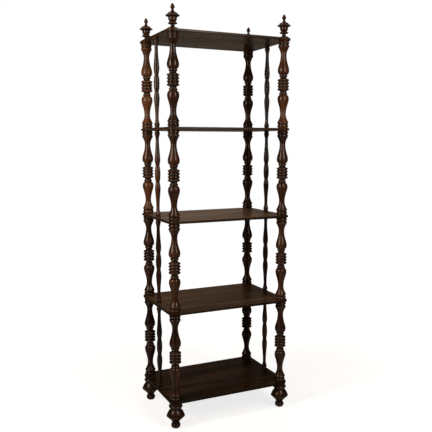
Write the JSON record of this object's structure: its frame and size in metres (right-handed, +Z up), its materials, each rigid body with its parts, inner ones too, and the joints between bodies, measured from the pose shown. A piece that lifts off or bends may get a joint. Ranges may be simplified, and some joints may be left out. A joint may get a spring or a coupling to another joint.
{
  "type": "bookcase",
  "caption": "Tall open etagere of thin rounded shelves held apart by stacked turned corner posts and slim side spindles, on bulbous turned feet, with urn finials on top.",
  "frame": {"origin": "centre of the footprint, on the floor under the feet", "axes": "+Z up, X along the long side of the shelves, -Y towards the front"},
  "size_m": [0.663, 0.454, 1.97],
  "materials": {
    "turned_wood": "french-polished dark rosewood or walnut, satin gloss",
    "shelf_wood": "polished dark walnut boards, satin gloss"
  },
  "bodies": {
    "root": {"foot_front_left": "turned_wood", "foot_front_right": "turned_wood", "foot_back_left": "turned_wood", "foot_back_right": "turned_wood", "shelf_1": "shelf_wood", "shelf_2": "shelf_wood", "shelf_3": "shelf_wood", "shelf_4": "shelf_wood", "shelf_5": "shelf_wood", "post_1_front_left": "turned_wood", "post_1_front_right": "turned_wood", "post_1_back_left": "turned_wood", "post_1_back_right": "turned_wood", "post_2_front_left": "turned_wood", "post_2_front_right": "turned_wood", "post_2_back_left": "turned_wood", "post_2_back_right": "turned_wood", "post_3_front_left": "turned_wood", "post_3_front_right": "turned_wood", "post_3_back_left": "turned_wood", "post_3_back_right": "turned_wood", "post_4_front_left": "turned_wood", "post_4_front_right": "turned_wood", "post_4_back_left": "turned_wood", "post_4_back_right": "turned_wood", "spindle_1_left": "turned_wood", "spindle_1_right": "turned_wood", "spindle_2_left": "turned_wood", "spindle_2_right": "turned_wood", "spindle_3_left": "turned_wood", "spindle_3_right": "turned_wood", "spindle_4_left": "turned_wood", "spindle_4_right": "turned_wood", "finial_front_left": "turned_wood", "finial_front_right": "turned_wood", "finial_back_left": "turned_wood", "finial_back_right": "turned_wood"}
  },
  "joints": []
}
